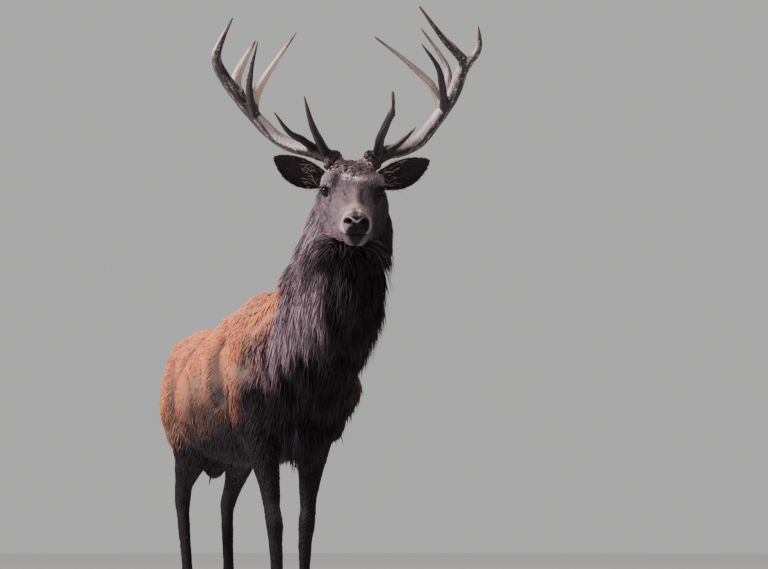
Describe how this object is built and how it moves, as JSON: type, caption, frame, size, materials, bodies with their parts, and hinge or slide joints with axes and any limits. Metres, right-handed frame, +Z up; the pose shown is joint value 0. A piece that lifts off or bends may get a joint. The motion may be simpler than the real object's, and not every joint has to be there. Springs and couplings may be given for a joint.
{
  "type": "red deer stag model",
  "caption": "Life-size standing red deer stag with branched antlers, head turned to its right, as a still museum model.",
  "frame": {"origin": "middle of the plan of the whole stag, at the level of its soles", "axes": "+Z up; -Y the way the trunk faces; +X the stag's left"},
  "size_m": [0.7896, 1.785, 1.9889],
  "materials": {
    "coat_red": "short reddish-brown hair",
    "coat_dark": "short dark brown hair",
    "mane": "long shaggy grey-brown hair",
    "face": "short grey-brown hair",
    "ear_hair": "dark ear hair",
    "antler_brown": "grooved bone, paler at the tips",
    "eye_dark": "wet and glossy",
    "hoof_horn": "worn dark horn"
  },
  "bodies": {
    "root": {"L_antler_beam_lower": "antler_brown", "L_antler_beam_upper": "antler_brown", "L_antler_bez": "antler_brown", "L_antler_brow": "antler_brown", "L_antler_front": "antler_brown", "L_antler_hook": "antler_brown", "L_antler_inner": "antler_brown", "L_antler_middle": "antler_brown", "L_ear": "ear_hair", "L_eye": "eye_dark", "L_fore_claw_left": "hoof_horn", "L_fore_claw_right": "hoof_horn", "L_fore_dewclaw_left": "hoof_horn", "L_fore_dewclaw_right": "hoof_horn", "L_foreleg_lower": "coat_dark", "L_foreleg_upper": "coat_dark", "L_hind_claw_left": "hoof_horn", "L_hind_claw_right": "hoof_horn", "L_hind_dewclaw_left": "hoof_horn", "L_hind_dewclaw_right": "hoof_horn", "L_hindleg_lower": "coat_dark", "L_hindleg_upper": "coat_dark", "R_antler_beam_lower": "antler_brown", "R_antler_beam_upper": "antler_brown", "R_antler_bez": "antler_brown", "R_antler_brow": "antler_brown", "R_antler_inner": "antler_brown", "R_antler_rear": "antler_brown", "R_antler_trez": "antler_brown", "R_ear": "ear_hair", "R_eye": "eye_dark", "R_fore_claw_left": "hoof_horn", "R_fore_claw_right": "hoof_horn", "R_fore_dewclaw_left": "hoof_horn", "R_fore_dewclaw_right": "hoof_horn", "R_foreleg_lower": "coat_dark", "R_foreleg_upper": "coat_dark", "R_hind_claw_left": "hoof_horn", "R_hind_claw_right": "hoof_horn", "R_hind_dewclaw_left": "hoof_horn", "R_hind_dewclaw_right": "hoof_horn", "R_hindleg_lower": "coat_dark", "R_hindleg_upper": "coat_dark", "head": "face", "neck": "mane", "tail": "coat_red", "trunk": "coat_red"}
  },
  "joints": []
}
